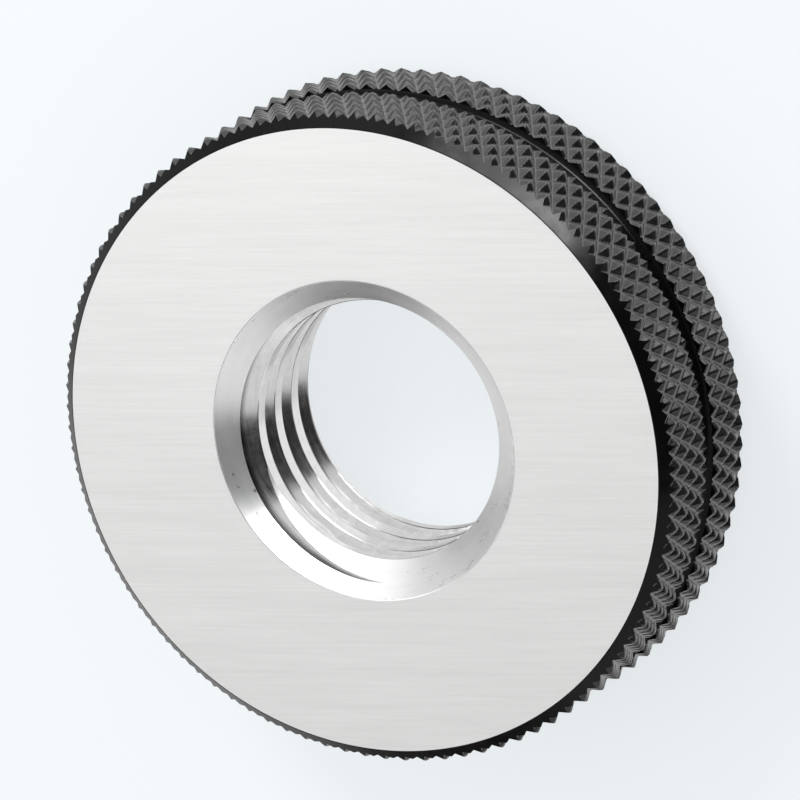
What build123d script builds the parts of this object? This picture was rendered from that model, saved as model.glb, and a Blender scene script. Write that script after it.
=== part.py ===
from build123d import *
import math
import os

# A thread ring gauge, M20 x 2.5, lying on its lower face. The origin is the centre
# of that face and +Z is the axis of the thread. All sizes are in millimetres.

# Ring
outer_diameter = 45.0  # over the points of the knurl
thickness = 12.0
rim_chamfer = 1.04  # 45 degrees, both edges, measured from the points of the knurl
rim_groove_height = 5.52  # middle of the turned groove between the two knurled bands
rim_groove_width = 1.45
rim_groove_depth = 1.0
turning_allowance = 0.1  # the blank stands this far outside the points of the knurl

# Diamond knurl: raised four-sided points between two crossing sets of V grooves
knurl_teeth = 96
knurl_depth = 0.5
knurl_helix_angle = 30.0  # between the knurl's grooves and the axis, degrees
knurl_turn = 2.03  # degrees from +X to a point of row 0
knurl_row_height = 5.73  # of row 0; the rows of points stand half a diamond apart
knurl_first_row = -5  # just below the lower face
knurl_last_row = 6  # just above the upper face

# Right-hand thread, one V groove of 60 degrees, with a countersink at both ends
thread_pitch = 2.5
minor_diameter = 17.68  # over the crests
root_diameter = 20.26
half_thread_angle = 30.0
countersink_diameter = 22.0  # at the faces; the countersinks are 90 degrees
groove_start_height = -0.754  # middle of the groove where it crosses +X below the lower face
groove_turns = 5.5  # long enough to run out through both countersinks
groove_overlap = 0.24  # the cutter reaches this far inside the crests

rim_radius = outer_diameter / 2
blank_radius = rim_radius + turning_allowance
blank_chamfer = rim_chamfer + turning_allowance
rim_groove_radius = rim_radius - rim_groove_depth
rim_groove_low = rim_groove_height - rim_groove_width / 2
rim_groove_high = rim_groove_height + rim_groove_width / 2

minor_radius = minor_diameter / 2
root_radius = root_diameter / 2
countersink_radius = countersink_diameter / 2
countersink_depth = countersink_radius - minor_radius
cutter_radius = minor_radius - groove_overlap
cutter_half_width = (root_radius - cutter_radius) * math.tan(math.radians(half_thread_angle))

valley_radius = rim_radius - knurl_depth
half_tooth_angle = 180 / knurl_teeth
diamond_width = 2 * math.pi * valley_radius / knurl_teeth
diamond_height = diamond_width / math.tan(math.radians(knurl_helix_angle))


def knurl_corner(step, row):
    """One corner of the knurl's net: points and valleys alternate along a row and up the rim."""
    radius = rim_radius if (step + row) % 2 == 0 else valley_radius
    angle = math.radians(knurl_turn + step * half_tooth_angle)
    height = knurl_row_height + row * diamond_height / 2
    return Vector(radius * math.cos(angle), radius * math.sin(angle), height)


def knurled_cylinder():
    """A solid cylinder covered in the knurl's points, longer than the ring is thick."""
    steps = range(2 * knurl_teeth)
    ends = (knurl_first_row, knurl_last_row)
    outlines = [[knurl_corner(step, row) for step in steps] for row in ends]
    for row in range(knurl_first_row, knurl_last_row):
        for step in steps:
            here = knurl_corner(step, row)
            beside = knurl_corner(step + 1, row)
            above = knurl_corner(step, row + 1)
            beside_above = knurl_corner(step + 1, row + 1)
            # each cell of the net is folded along the valley that crosses it
            if (step + row) % 2 == 0:
                outlines += [[here, beside, above], [beside, beside_above, above]]
            else:
                outlines += [[here, beside, beside_above], [here, beside_above, above]]
    return Solid(Shell([Face(Wire.make_polygon(outline)) for outline in outlines]))


with BuildPart() as ring_gauge:
    # the turned blank: flat faces, chamfered rim with its groove, countersunk bore
    with BuildSketch(Plane.XZ):
        with BuildLine():
            Polyline(
                (countersink_radius, 0),
                (blank_radius - blank_chamfer, 0),
                (blank_radius, blank_chamfer),
                (blank_radius, rim_groove_low),
                (rim_groove_radius, rim_groove_low),
                (rim_groove_radius, rim_groove_high),
                (blank_radius, rim_groove_high),
                (blank_radius, thickness - blank_chamfer),
                (blank_radius - blank_chamfer, thickness),
                (countersink_radius, thickness),
                (minor_radius, thickness - countersink_depth),
                (minor_radius, countersink_depth),
                close=True,
            )
        make_face()
    revolve(axis=Axis.Z)

    # the thread's groove
    with BuildLine() as groove_path:
        Helix(
            pitch=thread_pitch,
            height=groove_turns * thread_pitch,
            radius=root_radius,
            center=(0, 0, groove_start_height),
        )
    with BuildSketch(Plane.XZ):
        with BuildLine():
            Polyline(
                (cutter_radius, groove_start_height - cutter_half_width),
                (root_radius, groove_start_height),
                (cutter_radius, groove_start_height + cutter_half_width),
                close=True,
            )
        make_face()
    sweep(path=groove_path.line, is_frenet=True, mode=Mode.SUBTRACT)

    # the knurl, on the two bands that stand outside the valleys
    add(knurled_cylinder(), mode=Mode.INTERSECT)

os.makedirs("parts", exist_ok=True)
ring_gauge.part.label = "ring_gauge"
export_step(ring_gauge.part, "parts/ring_gauge.step")
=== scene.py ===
import math

import bmesh
import bpy
from mathutils import Matrix, Vector


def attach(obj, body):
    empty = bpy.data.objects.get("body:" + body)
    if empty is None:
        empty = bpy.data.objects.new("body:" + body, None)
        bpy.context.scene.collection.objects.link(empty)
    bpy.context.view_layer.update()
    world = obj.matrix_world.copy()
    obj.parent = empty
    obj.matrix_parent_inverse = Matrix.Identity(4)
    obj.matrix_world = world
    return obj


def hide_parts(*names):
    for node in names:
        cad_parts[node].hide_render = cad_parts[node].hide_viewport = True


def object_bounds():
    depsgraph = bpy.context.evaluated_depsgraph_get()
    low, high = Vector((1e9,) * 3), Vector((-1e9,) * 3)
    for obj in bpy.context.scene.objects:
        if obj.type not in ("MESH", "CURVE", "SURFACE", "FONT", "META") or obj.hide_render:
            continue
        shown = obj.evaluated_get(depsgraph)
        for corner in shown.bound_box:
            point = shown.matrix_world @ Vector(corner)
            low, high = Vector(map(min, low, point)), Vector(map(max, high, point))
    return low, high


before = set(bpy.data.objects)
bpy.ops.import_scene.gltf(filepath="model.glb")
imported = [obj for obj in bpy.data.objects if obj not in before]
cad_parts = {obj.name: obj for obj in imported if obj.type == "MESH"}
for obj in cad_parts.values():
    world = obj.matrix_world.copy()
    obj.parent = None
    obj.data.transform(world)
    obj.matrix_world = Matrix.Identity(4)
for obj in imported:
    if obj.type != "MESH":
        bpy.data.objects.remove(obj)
cadBox = [list(corner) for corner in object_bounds()]

# the ring's own size comes from the frame; everything else is in metres too
ring = {
    "top": cadBox[1][2],
    "outerRadius": round((cadBox[1][0] - cadBox[0][0]) / 2, 5),
    "chamfer": 0.00104,
    "rimGrooveHeight": 0.00552,
    "rimGrooveWidth": 0.00145,
    "rimGrooveDepth": 0.001,
    "rimGrooveRounding": 0.00055,  # of the two corners of its floor
    "countersinkRadius": 0.011,
    "edgeBreak": 0.00004,  # the narrow bevel on each edge of the flat faces
}

knurl = {
    "teeth": 96,
    "depth": 0.0005,
    "helixAngle": 30.0,
    "turn": 2.03,  # degrees from +X to a point of row 0
    "rowHeight": 0.00573,  # of row 0
    "blunting": 0.00003,  # how much the wheel leaves flat on each point
    "columnsPerHalfTooth": 5,
}

thread = {
    "pitch": 0.0025,
    "crestRadius": 0.00884,
    "rootRadius": 0.01013,
    "halfAngle": 30.0,
    "heightAtX": 0.001746,
    "rootRound": 0.00003,
    "crestBreak": 0.000025,
    "columns": 480,
}


def halfDiamondHeight():
    valleyRadius = ring["outerRadius"] - knurl["depth"]
    width = 2 * math.pi * valleyRadius / knurl["teeth"]
    return width / math.tan(math.radians(knurl["helixAngle"])) / 2


class Field:
    # a node's output that can stand in a sum, so that 1 - mask adds its own Math node
    def __init__(self, tree, socket):
        self.tree = tree
        self.socket = socket

    def maths(self, operation, *values):
        made = self.tree.nodes.new("ShaderNodeMath")
        made.operation = operation
        for slot, value in zip(made.inputs, values):
            if isinstance(value, Field):
                self.tree.links.new(value.socket, slot)
            else:
                slot.default_value = value
        return Field(self.tree, made.outputs[0])

    def __add__(self, other):
        return self.maths("ADD", self, other)

    def __radd__(self, other):
        return self.maths("ADD", other, self)

    def __sub__(self, other):
        return self.maths("SUBTRACT", self, other)

    def __rsub__(self, other):
        return self.maths("SUBTRACT", other, self)

    def __mul__(self, other):
        return self.maths("MULTIPLY", self, other)

    def __rmul__(self, other):
        return self.maths("MULTIPLY", other, self)

    def __truediv__(self, other):
        return self.maths("DIVIDE", self, other)

    def pingPong(self, reach):
        return self.maths("PINGPONG", self, reach)

    def turnFrom(self, other):
        return self.maths("ARCTAN2", self, other)

    def power(self, exponent):
        return self.maths("POWER", self, exponent)

    def atLeast(self, other):
        return self.maths("MAXIMUM", self, other)

    def atMost(self, other):
        return self.maths("MINIMUM", self, other)

    def clamped(self):
        return self.atLeast(0.0).atMost(1.0)


class Recipe:
    # one node tree, filled through node() alone
    def __init__(self, tree):
        self.tree = tree
        self.tree.nodes.clear()

    def node(self, kind, settings=None, sockets=None):
        made = self.tree.nodes.new(kind)
        for name, value in (settings or {}).items():
            setattr(made, name, value)
        for name, value in (sockets or {}).items():
            if isinstance(value, Field):
                self.tree.links.new(value.socket, made.inputs[name])
            else:
                made.inputs[name].default_value = value
        return made

    def out(self, made, name=0):
        return Field(self.tree, made.outputs[name])


def stretchedPlace(recipe, stretch):
    coords = recipe.node("ShaderNodeTexCoord")
    mapping = recipe.node(
        "ShaderNodeMapping", {}, {"Vector": recipe.out(coords, "Object"), "Scale": stretch}
    )
    return recipe.out(mapping)


def noiseAt(recipe, stretch, detail=3.0, roughness=0.6):
    made = recipe.node(
        "ShaderNodeTexNoise",
        {},
        {
            "Vector": stretchedPlace(recipe, stretch),
            "Scale": 1.0,
            "Detail": detail,
            "Roughness": roughness,
        },
    )
    return recipe.out(made, "Fac")


def mixColour(recipe, factor, first, second):
    # the Mix node's colours are its sockets 6 and 7, and its output 2
    made = recipe.node(
        "ShaderNodeMix", {"data_type": "RGBA"}, {"Factor": factor, 6: first, 7: second}
    )
    return recipe.out(made, 2)


def newMaterial(name):
    material = bpy.data.materials.new(name)
    material.use_nodes = True
    return material, Recipe(material.node_tree)


def finishMaterial(recipe, sockets, height, bumpStrength, bumpDistance):
    bump = recipe.node(
        "ShaderNodeBump", {}, {"Height": height, "Strength": bumpStrength, "Distance": bumpDistance}
    )
    sockets = {**sockets, "Normal": recipe.out(bump)}
    shader = recipe.node("ShaderNodeBsdfPrincipled", {}, sockets)
    recipe.node("ShaderNodeOutputMaterial", {}, {"Surface": recipe.out(shader)})


groundFaceLook = {
    "dark": (0.68, 0.68, 0.675, 1.0),
    "light": (0.86, 0.86, 0.855, 1.0),
    "roughness": 0.34,
    "roughnessSpread": 0.14,
    "grain": (150.0, 5200.0, 400.0),  # grains per metre along X, Y and Z: the wheel ran along X
    "coarseGrain": (60.0, 1100.0, 200.0),
    "fineShare": 0.6,  # of the fine grain against the coarse one
    "bump": 0.5,
    "bumpDistance": 0.0000015,
}


def groundFaceMaterial():
    look = groundFaceLook
    material, recipe = newMaterial("groundFace")
    grain = noiseAt(recipe, look["grain"])
    coarse = noiseAt(recipe, look["coarseGrain"], detail=2.0, roughness=0.5)
    streak = (grain * look["fineShare"] + coarse * (1 - look["fineShare"])).clamped()
    finishMaterial(
        recipe,
        {
            "Base Color": mixColour(recipe, streak, look["dark"], look["light"]),
            "Metallic": 1.0,
            "Roughness": look["roughness"] + (streak - 0.5) * look["roughnessSpread"],
        },
        streak,
        look["bump"],
        look["bumpDistance"],
    )
    return material


threadLook = {
    "dark": (0.62, 0.62, 0.62, 1.0),
    "light": (0.9, 0.9, 0.9, 1.0),
    "metallic": 1.0,
    # painted shade: the thread's roots are darkened where shade falls in them
    "paintedRootShade": (0.16, 0.16, 0.16, 1.0),
    "rootFrom": 0.00955,  # radii between which the painted shade in the thread's roots sets in
    "rootTo": 0.0099,
    "rootStart": 0.0001,  # how far behind a countersink's cone the painted shade is full
    "roughness": 0.17,
    "roughnessSpread": 0.16,
    "toolMarks": (260.0, 260.0, 9000.0),  # marks per metre: close together up the bore, long around it
    "smears": (1500.0, 1500.0, 700.0),
    "contrast": 1.6,  # between the dark and the light tone
    "bump": 0.6,
    "bumpDistance": 0.000003,
}

countersinkLook = {
    **threadLook,
    "dark": (0.72, 0.72, 0.72, 1.0),
    "metallic": 0.72,  # its finer turning scatters more of the light
    "roughness": 0.3,
    "toolMarks": (200.0, 200.0, 2500.0),
    "smears": (500.0, 500.0, 900.0),
    "bump": 0.0,  # turned too finely for one
}


def placeParts(recipe):
    coords = recipe.node("ShaderNodeTexCoord")
    parts = recipe.node("ShaderNodeSeparateXYZ", {}, {"Vector": recipe.out(coords, "Object")})
    return [recipe.out(parts, axis) for axis in range(3)]


def paintedRootShadeMask(recipe, look):
    # painted shade in the thread's roots, only behind the countersinks' cones, so that the cones stay
    # bright
    x, y, z = placeParts(recipe)
    radius = (x * x + y * y).power(0.5)
    outward = (radius - look["rootFrom"]) / (look["rootTo"] - look["rootFrom"])
    fromFace = z.atMost(ring["top"] - z)
    behind = (radius + fromFace - ring["countersinkRadius"]) / look["rootStart"]
    return outward.clamped() * behind.clamped()


def turnedMaterial(name, look):
    material, recipe = newMaterial(name)
    marks = noiseAt(recipe, look["toolMarks"])
    smears = noiseAt(recipe, look["smears"])
    wear = ((marks * 0.5 + smears * 0.5 - 0.5) * look["contrast"] + 0.5).clamped()
    steel = mixColour(recipe, wear, look["dark"], look["light"])
    finishMaterial(
        recipe,
        {
            # the thread's roots get painted shade
            "Base Color": mixColour(recipe, paintedRootShadeMask(recipe, look), steel, look["paintedRootShade"]),
            "Metallic": look["metallic"],
            "Roughness": look["roughness"] + (wear - 0.5) * look["roughnessSpread"],
        },
        marks,
        look["bump"],
        look["bumpDistance"],
    )
    return material


blackFinish = {
    "patchReach": 1.4,  # multiplies the mottling, so that its upper part is fully worn
    "glintSpeckleReach": 1.6,  # the same for the speckle that breaks up the painted highlight in the valleys
    "mottleShare": 0.6,  # of the bump's height, against the speckle
}

blackKnurlLook = {
    "dark": (0.006, 0.006, 0.0065, 1.0),
    "light": (0.022, 0.022, 0.023, 1.0),
    "worn": (0.30, 0.30, 0.30, 1.0),  # bare steel on the points
    "wornFrom": 0.02236,  # radii between which the points wear bare
    "wornTo": 0.02250,
    "wornShare": 0.5,
    "paintedValleyGlint": (0.11, 0.11, 0.11, 1.0),  # painted highlight along the valleys of one direction
    "paintedGlintWidth": 0.14,  # of half a tooth
    "shine": 1.0,
    "roughness": 0.24,
    "roughnessSpread": 0.16,
    "mottle": (1500.0, 1500.0, 1500.0),
    "speckle": (9000.0, 9000.0, 9000.0),
    "bump": 0.5,
    "bumpDistance": 0.000006,
}

blackTurnedLook = {
    "dark": (0.002, 0.002, 0.002, 1.0),
    "light": (0.006, 0.006, 0.006, 1.0),
    "worn": (0.30, 0.30, 0.30, 1.0),
    "wornFrom": 0.02236,
    "wornTo": 0.02260,
    "wornShare": 0.1,
    "shine": 0.12,
    "roughness": 0.2,
    "roughnessSpread": 0.3,
    "mottle": (900.0, 900.0, 900.0),
    "speckle": (7000.0, 7000.0, 7000.0),
    "bump": 0.4,
    "bumpDistance": 0.000004,
}


def paintedGlintMask(recipe, width):
    # painted highlight along the knurl's valleys that fall as they go round
    x, y, z = placeParts(recipe)
    halfTooth = math.pi / knurl["teeth"]
    step = (y.turnFrom(x) - math.radians(knurl["turn"])) / halfTooth
    row = (z - knurl["rowHeight"]) / halfDiamondHeight()
    return (((step + row).pingPong(1.0) - (1 - width)) / width).clamped()


def blackMaterial(name, look):
    material, recipe = newMaterial(name)
    mottle = noiseAt(recipe, look["mottle"])
    speckle = noiseAt(recipe, look["speckle"], detail=2.0)
    x, y, z = placeParts(recipe)
    radius = (x * x + y * y).power(0.5)
    outward = (radius - look["wornFrom"]) / (look["wornTo"] - look["wornFrom"])
    patches = (mottle * blackFinish["patchReach"]).clamped()
    worn = (outward.clamped() * patches * look["wornShare"]).clamped()
    coat = mixColour(recipe, mottle, look["dark"], look["light"])
    # painted highlight along one direction of the knurl's valleys, broken up by the speckle
    if "paintedValleyGlint" in look:
        glintSpeckle = (speckle * blackFinish["glintSpeckleReach"]).clamped()
        valley = paintedGlintMask(recipe, look["paintedGlintWidth"]) * glintSpeckle
        coat = mixColour(recipe, valley, coat, look["paintedValleyGlint"])
    finishMaterial(
        recipe,
        {
            "Base Color": mixColour(recipe, worn, coat, look["worn"]),
            "Metallic": worn,
            "Roughness": look["roughness"] + (mottle - 0.5) * look["roughnessSpread"],
            "Specular IOR Level": look["shine"],
        },
        mottle * blackFinish["mottleShare"] + speckle * (1 - blackFinish["mottleShare"]),
        look["bump"],
        look["bumpDistance"],
    )
    return material


class RingMesh:
    # vertices and faces of the ring, with one material number per face
    def __init__(self):
        self.points = []
        self.faces = []
        self.numbers = []

    def addPoint(self, radius, angle, height):
        self.points.append((radius * math.cos(angle), radius * math.sin(angle), height))
        return len(self.points) - 1

    def addFace(self, corners, number):
        self.faces.append(corners)
        self.numbers.append(number)

    def addCell(self, corners, number):
        # split along its lower diagonal, so that the knurl's valleys run along edges
        first, second, third, fourth = corners
        radii = [math.hypot(*self.points[corner][:2]) for corner in corners]
        if radii[0] + radii[2] < radii[1] + radii[3]:
            halves = ((first, second, third), (first, third, fourth))
        else:
            halves = ((second, third, fourth), (second, fourth, first))
        for half in halves:
            self.addFace(half, number)

    def addSkin(self, columns, numbers, closed):
        # columns of equal length, each from the top of the ring down, joined into quads
        pairs = list(zip(columns, columns[1:]))
        if closed:
            pairs.append((columns[-1], columns[0]))
        for left, right in pairs:
            for row in range(len(left) - 1):
                corners = (left[row], left[row + 1], right[row + 1], right[row])
                if numbers[row] == knurlNumber:
                    self.addCell(corners, numbers[row])
                else:
                    self.addFace(corners, numbers[row])


groundNumber, boreNumber, knurlNumber, turnedNumber, countersinkNumber = range(5)
halfDiamond = halfDiamondHeight()
# lengths in metres, as everywhere
meshing = {
    "cutPrecision": 1e-8,  # of the chamfer's edge
    "linePrecision": 1e-6,  # of a crossing, as a share of its line
    "rowClearance": 0.05,  # least distance of a row of points from a band's end, in rows
    "bevelShare": 0.7,  # of edgeBreak, how deep the bevels of the flat faces go
    "mergeDistance": 2e-6,
    "sliverLength": 1e-7,
    "coneTolerance": 3e-6,  # a face this near to the countersink's cone belongs to it
    "grooveMargin": 0.00001,  # the rim groove's own edges stay out of its soft zone
    "grooveCrease": 40,  # degrees from which an edge shows as a crease
    "crease": 12,
}


def rowAt(height):
    return (height - knurl["rowHeight"]) / halfDiamond


def heightAt(row):
    return knurl["rowHeight"] + row * halfDiamond


def cutShare(across):
    # one direction's V grooves: across is 1 at a groove and 0 or 2 midway between two
    return 1 - abs(across % 2 - 1)


def knurlRadius(step, height):
    row = rowAt(height)
    point = ring["outerRadius"] + knurl["blunting"]
    depth = knurl["depth"] + knurl["blunting"]
    return min(ring["outerRadius"], point - depth * max(cutShare(step + row), cutShare(step - row)))


def chamferCut(step, place):
    # how far in from its face the chamfer's cone meets the knurl
    shallow, deep = 0.0, 2 * ring["chamfer"]
    faceRadius = ring["outerRadius"] - ring["chamfer"]
    while deep - shallow > meshing["cutPrecision"]:
        middle = (shallow + deep) / 2
        if faceRadius + middle < knurlRadius(step, place(middle)):
            shallow = middle
        else:
            deep = middle
    return shallow


def netRows(depthBefore, depthAfter, place):
    # the knurl's own net of rows between two depths from a face
    count = knurl["columnsPerHalfTooth"]
    ends = sorted(rowAt(place(depth)) * count for depth in (depthBefore, depthAfter))
    clearance = meshing["rowClearance"]
    rows = range(math.ceil(ends[0] + clearance), math.floor(ends[1] - clearance) + 1)
    heights = [heightAt(row / count) for row in rows]
    return sorted(heights, key=lambda height: abs(height - place(0.0)))


def bandProfile(step, upper):
    # (radius, height) from a face to the edge of the rim's groove
    top = ring["top"]

    def place(depth):
        return top - depth if upper else depth

    faceRadius = ring["outerRadius"] - ring["chamfer"]
    edge = ring["edgeBreak"]
    bevel = meshing["bevelShare"] * edge
    cut = chamferCut(step, place)
    grooveEdge = ring["rimGrooveHeight"] + (1 if upper else -1) * ring["rimGrooveWidth"] / 2
    bandEnd = top - grooveEdge if upper else grooveEdge
    heights = netRows(ring["chamfer"] - knurl["depth"], bandEnd, place)
    profile = [(faceRadius - edge, place(0.0))]
    profile += [(faceRadius + depth, place(depth)) for depth in (bevel, cut / 3, 2 * cut / 3, cut)]
    for height in heights + [grooveEdge]:
        # the net's rows above the chamfer's edge all end on that edge
        depth = max(cut, abs(height - place(0.0)))
        radius = faceRadius + cut if depth == cut else knurlRadius(step, height)
        profile.append((radius, place(depth)))
    return profile


chamferRows = 4  # of each profile lie on the chamfer


def rimGrooveProfile():
    # down the upper wall, round the two corners of the floor and out along the lower wall
    floorRadius = ring["outerRadius"] - ring["rimGrooveDepth"]
    rounding = ring["rimGrooveRounding"]
    half = ring["rimGrooveWidth"] / 2
    middle = ring["rimGrooveHeight"]
    corner = []
    for turn in (0, 30, 60, 90):
        angle = math.radians(turn)
        inward = rounding * (1 - math.sin(angle))
        corner.append((floorRadius + inward, half - rounding * (1 - math.cos(angle))))
    above = [(radius, middle + offset) for radius, offset in corner]
    below = [(radius, middle - offset) for radius, offset in corner[::-1]]
    return above + below


def rimColumn(mesh, index):
    columns = 2 * knurl["teeth"] * knurl["columnsPerHalfTooth"]
    step = index / knurl["columnsPerHalfTooth"]
    angle = math.radians(knurl["turn"]) + 2 * math.pi * index / columns
    upper = bandProfile(step, True)
    lower = bandProfile(step, False)
    profile = upper + rimGrooveProfile() + lower[::-1]
    return [mesh.addPoint(radius, angle, height) for radius, height in profile]


def rimNumbers():
    # one material number for each row of faces down the rim
    upper, lower = len(bandProfile(0, True)), len(bandProfile(0, False))
    groove = len(rimGrooveProfile()) + 1
    band = [turnedNumber] * chamferRows
    above = band + [knurlNumber] * (upper - 1 - chamferRows)
    below = [knurlNumber] * (lower - 1 - chamferRows) + band
    return above + [turnedNumber] * groove + below


def coneRadius(height):
    depth = min(height, ring["top"] - height)
    return ring["countersinkRadius"] - depth


def grooveOutline():
    # (offset up the thread, radius) over one pitch, from the middle of one crest to the next
    slope = 1 / math.tan(math.radians(thread["halfAngle"]))
    mouth = (thread["rootRadius"] - thread["crestRadius"]) / slope
    bevel, root = thread["crestBreak"], thread["rootRound"]
    side = [
        (mouth + bevel, thread["crestRadius"]),
        (mouth - bevel, thread["crestRadius"] + bevel * slope),
        (root, thread["rootRadius"] - root * slope),
    ]
    below = [(-offset, radius) for offset, radius in side]
    above = [(offset, radius) for offset, radius in side[::-1]]
    return [(-thread["pitch"] / 2, thread["crestRadius"])] + below + above


def crossing(inner, outer):
    # where the thread's line from inner to outer goes under the countersink
    low, high = 0.0, 1.0
    while high - low > meshing["linePrecision"]:
        middle = (low + high) / 2
        height = inner[1] + (outer[1] - inner[1]) * middle
        radius = inner[0] + (outer[0] - inner[0]) * middle
        if radius > coneRadius(height):
            low = middle
        else:
            high = middle
    height = inner[1] + (outer[1] - inner[1]) * low
    return coneRadius(height), height


def boreColumn(mesh, index):
    turn = index / thread["columns"]
    edge = meshing["bevelShare"] * ring["edgeBreak"]
    line = []
    for groove in range(6, -4, -1):
        root = thread["heightAtX"] + thread["pitch"] * (turn + groove)
        line += [(radius, root + offset) for offset, radius in grooveOutline()[::-1]]
    open_ = [radius > coneRadius(height) for radius, height in line]
    placed = []
    for here in range(len(line)):
        radius, height = line[here]
        if not open_[here]:
            near = [other for other in (here - 1, here + 1) if 0 <= other < len(line) and open_[other]]
            if near:
                radius, height = crossing(line[near[0]], line[here])
            height = min(max(height, edge), ring["top"] - edge)
            radius = coneRadius(height)
        placed.append((radius, height))
    angle = 2 * math.pi * turn
    faceRadius = ring["countersinkRadius"] + ring["edgeBreak"]
    placed = [(faceRadius, ring["top"])] + placed + [(faceRadius, 0.0)]
    return [mesh.addPoint(radius, angle, height) for radius, height in placed]


def addFlatFace(mesh, inner, outer, upward):
    # the rim has a whole number of columns to each one of the bore
    ratio = len(outer) // len(inner)
    for index, start in enumerate(inner):
        end = inner[(index + 1) % len(inner)]
        arc = [outer[(index * ratio + extra) % len(outer)] for extra in range(ratio + 1)]
        half = ratio // 2
        fans = [(start, arc[extra], arc[extra + 1]) for extra in range(half)]
        fans.append((start, arc[half], end))
        fans += [(end, arc[extra], arc[extra + 1]) for extra in range(half, ratio)]
        for corners in fans:
            mesh.addFace(corners if upward else corners[::-1], groundNumber)


def onCone(place):
    return abs(place.xy.length - coneRadius(place.z)) < meshing["coneTolerance"]


def softestCrease(edge):
    # smooth all over in the knurl and on the cones, and nearly so in the rim groove's corners
    place = edge.verts[0].co
    for number in (knurlNumber, countersinkNumber):
        if all(face.material_index == number for face in edge.link_faces):
            return math.pi
    halfWidth = ring["rimGrooveWidth"] / 2 - meshing["grooveMargin"]
    atGroove = abs(place.z - ring["rimGrooveHeight"]) < halfWidth
    onRim = place.xy.length > ring["countersinkRadius"]
    return math.radians(meshing["grooveCrease" if atGroove and onRim else "crease"])


def buildRing(materials):
    mesh = RingMesh()
    rimCount = 2 * knurl["teeth"] * knurl["columnsPerHalfTooth"]
    rim = [rimColumn(mesh, index) for index in range(rimCount)]
    bore = [boreColumn(mesh, index) for index in range(thread["columns"] + 1)]
    mesh.addSkin(rim, rimNumbers(), True)
    mesh.addSkin([column[::-1] for column in bore], [boreNumber] * (len(bore[0]) - 1), False)
    addFlatFace(mesh, [column[0] for column in bore[:-1]], [column[0] for column in rim], True)
    addFlatFace(mesh, [column[-1] for column in bore[:-1]], [column[-1] for column in rim], False)

    data = bpy.data.meshes.new("gaugeRing")
    data.from_pydata(mesh.points, [], mesh.faces)
    data.polygons.foreach_set("material_index", mesh.numbers)
    edit = bmesh.new()
    edit.from_mesh(data)
    bmesh.ops.remove_doubles(edit, verts=edit.verts, dist=meshing["mergeDistance"])
    bmesh.ops.dissolve_degenerate(edit, edges=edit.edges, dist=meshing["sliverLength"])
    bmesh.ops.recalc_face_normals(edit, faces=edit.faces)
    for face in edit.faces:
        face.smooth = True
        if face.material_index == boreNumber and all(onCone(corner.co) for corner in face.verts):
            face.material_index = countersinkNumber
    for edge in edit.edges:
        edge.smooth = edge.calc_face_angle(0.0) < softestCrease(edge)
    openEdges = sum(not edge.is_manifold for edge in edit.edges)
    triangles = sum(len(face.verts) - 2 for face in edit.faces)
    edit.to_mesh(data)
    edit.free()
    for material in materials:
        data.materials.append(material)
    piece = bpy.data.objects.new("gaugeRing", data)
    bpy.context.collection.objects.link(piece)
    print("ring:", triangles, "triangles,", openEdges, "open edges")
    return piece


view = {
    "toward": (0.45277, 0.25537, 0.85428),  # from the ring to the camera
    "up": (0.0, 0.95811, -0.28641),
    "distance": 1.2851,
    "lens": 877.8,
    "sensor": 36,
    "clipStart": 0.05,
    "clipEnd": 10,
    "aimRight": 0.002409,  # how far beside and above the upper face's centre it aims
    "aimUp": 0.0027,
}


def buildCamera():
    toward = Vector(view["toward"]).normalized()
    up = Vector(view["up"])
    right = up.cross(toward).normalized()
    up = toward.cross(right)
    faceCentre = Vector((0, 0, ring["top"]))
    aim = faceCentre + right * view["aimRight"] + up * view["aimUp"]
    camera = bpy.data.objects.new("camera", bpy.data.cameras.new("camera"))
    camera.data.lens = view["lens"]
    camera.data.sensor_width = view["sensor"]
    camera.data.clip_start = view["clipStart"]
    camera.data.clip_end = view["clipEnd"]
    place = aim + toward * view["distance"]
    turn = Matrix((right, up, toward)).transposed()
    camera.matrix_world = Matrix.Translation(place) @ turn.to_4x4()
    bpy.context.collection.objects.link(camera)
    bpy.context.scene.camera = camera


floorLook = {
    "colour": (0.93, 0.97, 1.0, 1.0),
    "glow": 0.74,  # share of the floor's own pale colour in what the camera sees
    "reach": 1.5,  # from the middle to each side
}


def buildFloor():
    side = floorLook["reach"]
    data = bpy.data.meshes.new("floor")
    corners = [(-side, -side, 0), (side, -side, 0), (side, side, 0), (-side, side, 0)]
    data.from_pydata(corners, [], [(0, 1, 2, 3)])
    floor = bpy.data.objects.new("floor", data)
    bpy.context.collection.objects.link(floor)
    material, recipe = newMaterial("floor")
    path = recipe.node("ShaderNodeLightPath")
    cloth = recipe.node("ShaderNodeBsdfDiffuse", {}, {"Color": floorLook["colour"]})
    glow = recipe.node("ShaderNodeEmission", {}, {"Color": floorLook["colour"], "Strength": 1.0})
    share = recipe.out(path, "Is Camera Ray") * floorLook["glow"]
    mixed = recipe.node(
        "ShaderNodeMixShader", {}, {0: share, 1: recipe.out(cloth), 2: recipe.out(glow)}
    )
    recipe.node("ShaderNodeOutputMaterial", {}, {"Surface": recipe.out(mixed)})
    data.materials.append(material)
    floor.visible_glossy = False  # the studio's own panels show in the metal instead


studio = {
    "fill": 0.6,  # what lights the matt finishes from all round
    "plain": 0.78,  # what shows between the panels
}

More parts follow.
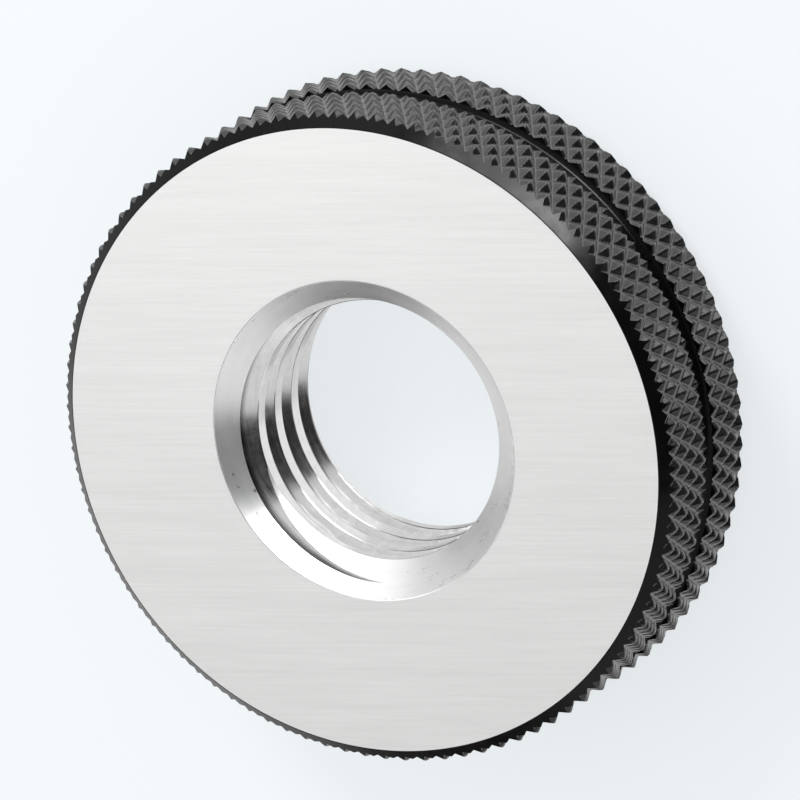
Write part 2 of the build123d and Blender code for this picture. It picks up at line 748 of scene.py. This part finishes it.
# what the metal mirrors: azimuth, half width, lowest and highest elevation, all in degrees,
# the width of the soft border, and the level
panels = {
    "table": (35, 70, -90, -48, 8, 1.1),
    "underSide": (-145, 60, -90, -44, 8, 0.55),
    "lowShade": (-75, 42, -46, -24, 5, 0.12),
    "floorBox": (-152, 17, -40, -20, 4, 1.15),
    "lowDark": (-106, 22, -24, 3, 4, 0.1),
    "frontWall": (-58, 28, -12, 40, 6, 1.0),
    "sideWall": (73, 36, 5, 40, 5, 1.0),
    "farWall": (114, 14, 10, 26, 5, 1.8),
    "darkCard": (4, 35, -50, 80, 5, 0.02),
    "sideBox": (54, 11, 19, 36, 3, 30.0),
    "backBox": (78, 12, 19, 34, 4, 14.0),
    "lowBox": (58, 10, -32, -14, 4, 2.5),
}

# discs of light: the first grades the flat face, the second throws the shadow;
# one that isn't mirrored leaves no highlight on the steel
lamps = {
    "faceLamp": {
        "toward": (-0.45, 0.15, 0.85),
        "distance": 0.3,
        "size": 0.2,
        "power": 0.1,
        "mirrored": True,
    },
    "shadowLamp": {
        "toward": (-0.25, 0.75, 0.6),
        "distance": 0.5,
        "size": 0.16,
        "power": 1.1,
        "mirrored": False,
    },
}


def panelMask(across, heading, middle, halfWidth, lowest, highest, soft):
    x, y, z = heading
    turn = math.radians(middle)
    nearness = (x * math.cos(turn) + y * math.sin(turn)) / across
    inner = math.cos(math.radians(halfWidth - soft / 2))
    outer = math.cos(math.radians(halfWidth + soft / 2))
    sideways = ((nearness - outer) / (inner - outer)).clamped()
    rise = math.sin(math.radians(soft))
    above = ((z - math.sin(math.radians(lowest))) / rise).clamped()
    below = ((math.sin(math.radians(highest)) - z) / rise).clamped()
    return sideways * above * below


leastAcross = 0.0001  # keeps the azimuth defined straight up and straight down


def buildWorld():
    world = bpy.data.worlds.new("studio")
    bpy.context.scene.world = world
    world.use_nodes = True
    world.cycles.sampling_method = "NONE"  # the panels are for mirror-like paths alone
    recipe = Recipe(world.node_tree)
    coords = recipe.node("ShaderNodeTexCoord")
    parts = recipe.node("ShaderNodeSeparateXYZ", {}, {"Vector": recipe.out(coords, "Generated")})
    heading = [recipe.out(parts, axis) for axis in range(3)]
    across = (heading[0] * heading[0] + heading[1] * heading[1]).power(0.5).atLeast(leastAcross)
    seen = studio["plain"]
    for *extent, level in panels.values():
        mask = panelMask(across, heading, *extent)
        seen = mask * level + (1 - mask) * seen
    path = recipe.node("ShaderNodeLightPath")
    camera, glossy, through = (
        recipe.out(path, name) for name in ("Is Camera Ray", "Is Glossy Ray", "Is Transmission Ray")
    )
    shown = camera.atLeast(glossy).atLeast(through)
    light, mirrored = (
        recipe.out(
            recipe.node("ShaderNodeBackground", {}, {"Strength": strength, "Color": (1, 1, 1, 1)})
        )
        for strength in (studio["fill"], seen)
    )
    mixed = recipe.node("ShaderNodeMixShader", {}, {0: shown, 1: light, 2: mirrored})
    recipe.node("ShaderNodeOutputWorld", {}, {"Surface": recipe.out(mixed)})


def buildLamp(name, lampValues):
    toward = Vector(lampValues["toward"]).normalized()
    data = bpy.data.lights.new(name, "AREA")
    data.shape = "DISK"
    data.size = lampValues["size"]
    data.energy = lampValues["power"]
    lamp = bpy.data.objects.new(name, data)
    lamp.location = toward * lampValues["distance"]
    lamp.rotation_mode = "QUATERNION"
    lamp.rotation_quaternion = toward.to_track_quat("Z", "Y")
    lamp.visible_glossy = lampValues["mirrored"]
    bpy.context.collection.objects.link(lamp)


materials = [
    groundFaceMaterial(),
    turnedMaterial("thread", threadLook),
    blackMaterial("blackKnurl", blackKnurlLook),
    blackMaterial("blackTurned", blackTurnedLook),
    turnedMaterial("countersink", countersinkLook),
]
print("materials made")
gaugeRing = buildRing(materials)
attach(gaugeRing, "root")
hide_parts("ring_gauge")
buildFloor()
buildCamera()
buildWorld()
for lampName, lampValues in lamps.items():
    buildLamp(lampName, lampValues)
print("camera, floor and light made")

bpy.context.scene.view_settings.view_transform = "Standard"
